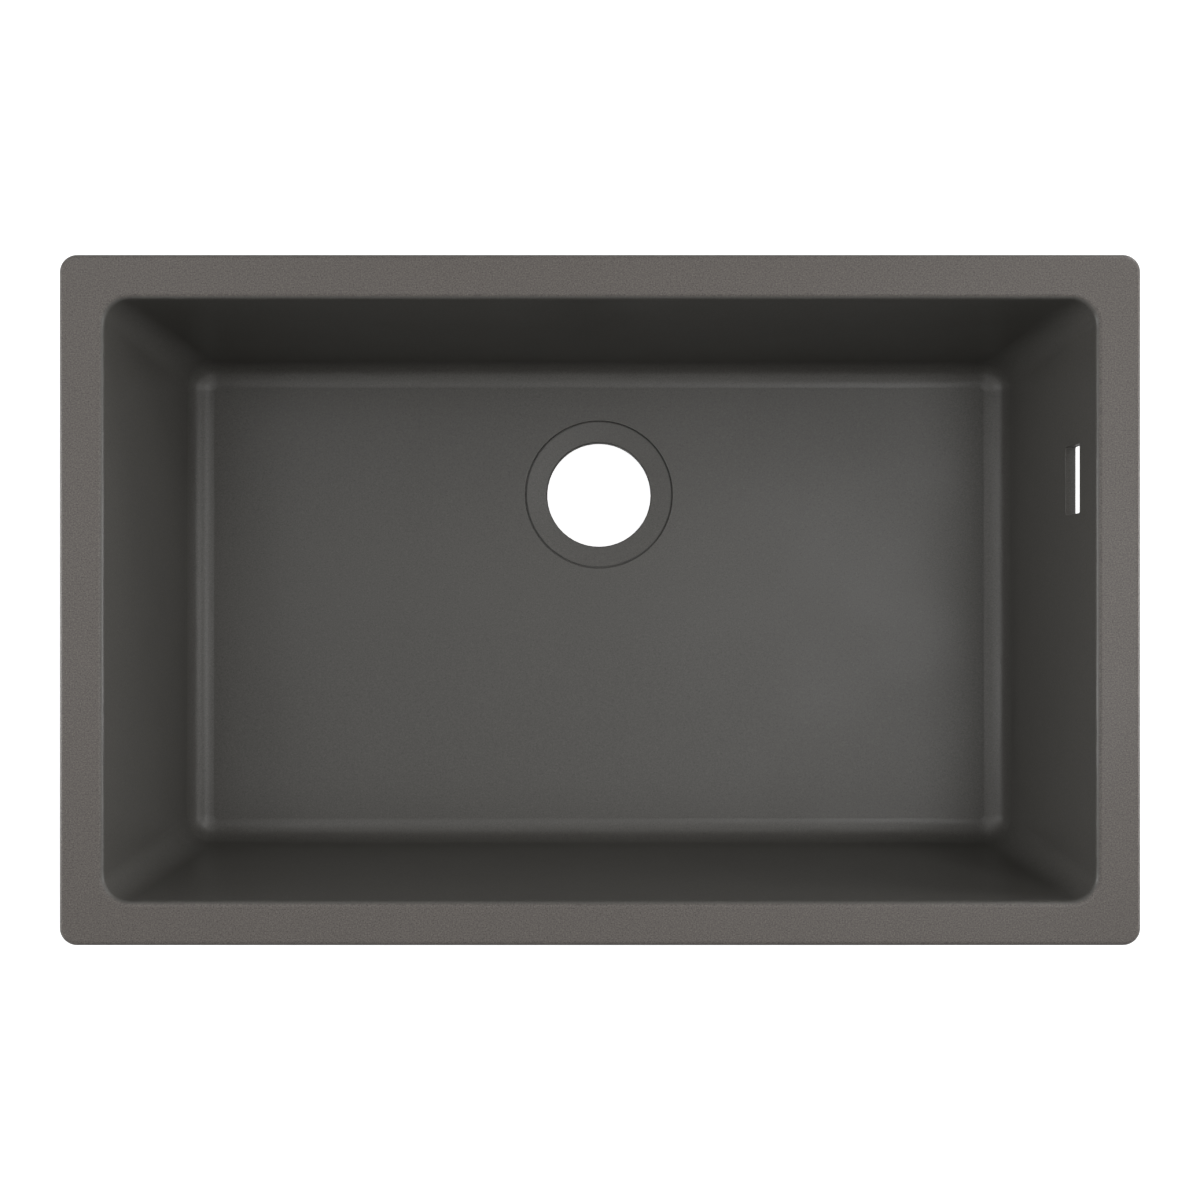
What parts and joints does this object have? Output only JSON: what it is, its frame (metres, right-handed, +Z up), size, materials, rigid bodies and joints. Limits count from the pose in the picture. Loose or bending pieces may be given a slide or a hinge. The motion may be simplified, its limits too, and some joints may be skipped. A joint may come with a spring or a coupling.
{
  "type": "undermount kitchen sink",
  "caption": "Single-bowl undermount sink with a flat rim, drafted walls, rear outlet in a recess, side overflow slot and swivelling mounting clips.",
  "frame": {"origin": "middle of the rim's top face, which meets the worktop's underside", "axes": "+X along the sink to the wall with the overflow slot, +Y to the outlet side, +Z up"},
  "size_m": [0.71, 0.4538, 0.203],
  "materials": {
    "granite_composite": "matt, fine mineral grain",
    "brass": "turned",
    "zinc_steel": "bright zinc plated",
    "clip_steel": "pressed and galvanised"
  },
  "bodies": {
    "bowl": {"bowl": "granite_composite", "clip_inserts": "brass", "clip_bolts": "zinc_steel", "clip_lock_washers": "zinc_steel", "clip_washers": "zinc_steel", "overflow_inserts": "brass"},
    "mounting_clip_01": {"mounting_clip_01": "clip_steel"},
    "mounting_clip_02": {"mounting_clip_02": "clip_steel"},
    "mounting_clip_03": {"mounting_clip_03": "clip_steel"},
    "mounting_clip_04": {"mounting_clip_04": "clip_steel"},
    "mounting_clip_05": {"mounting_clip_05": "clip_steel"},
    "mounting_clip_06": {"mounting_clip_06": "clip_steel"},
    "mounting_clip_07": {"mounting_clip_07": "clip_steel"},
    "mounting_clip_08": {"mounting_clip_08": "clip_steel"},
    "mounting_clip_09": {"mounting_clip_09": "clip_steel"},
    "mounting_clip_10": {"mounting_clip_10": "clip_steel"}
  },
  "joints": [
    {"name": "clip_01_swivel", "type": "hinge", "parent": "bowl", "child": "mounting_clip_01", "pos_m": [-0.24, 0.21515, -0.01925], "axis": [0, 0, 1], "range_deg": [0, 90]},
    {"name": "clip_02_swivel", "type": "hinge", "parent": "bowl", "child": "mounting_clip_02", "pos_m": [0, 0.21515, -0.01925], "axis": [0, 0, 1], "range_deg": [0, 90]},
    {"name": "clip_03_swivel", "type": "hinge", "parent": "bowl", "child": "mounting_clip_03", "pos_m": [0.24, 0.21515, -0.01925], "axis": [0, 0, -1], "range_deg": [0, 90]},
    {"name": "clip_04_swivel", "type": "hinge", "parent": "bowl", "child": "mounting_clip_04", "pos_m": [0.3433, 0.13985, -0.01925], "axis": [0, 0, -1], "range_deg": [0, 90]},
    {"name": "clip_05_swivel", "type": "hinge", "parent": "bowl", "child": "mounting_clip_05", "pos_m": [0.3433, -0.13985, -0.01925], "axis": [0, 0, 1], "range_deg": [0, 90]},
    {"name": "clip_06_swivel", "type": "hinge", "parent": "bowl", "child": "mounting_clip_06", "pos_m": [0.24, -0.21515, -0.01925], "axis": [0, 0, 1], "range_deg": [0, 90]},
    {"name": "clip_07_swivel", "type": "hinge", "parent": "bowl", "child": "mounting_clip_07", "pos_m": [0, -0.21515, -0.01925], "axis": [0, 0, -1], "range_deg": [0, 90]},
    {"name": "clip_08_swivel", "type": "hinge", "parent": "bowl", "child": "mounting_clip_08", "pos_m": [-0.24, -0.21515, -0.01925], "axis": [0, 0, -1], "range_deg": [0, 90]},
    {"name": "clip_09_swivel", "type": "hinge", "parent": "bowl", "child": "mounting_clip_09", "pos_m": [-0.3433, -0.13985, -0.01925], "axis": [0, 0, -1], "range_deg": [0, 90]},
    {"name": "clip_10_swivel", "type": "hinge", "parent": "bowl", "child": "mounting_clip_10", "pos_m": [-0.3433, 0.13985, -0.01925], "axis": [0, 0, 1], "range_deg": [0, 90]}
  ]
}
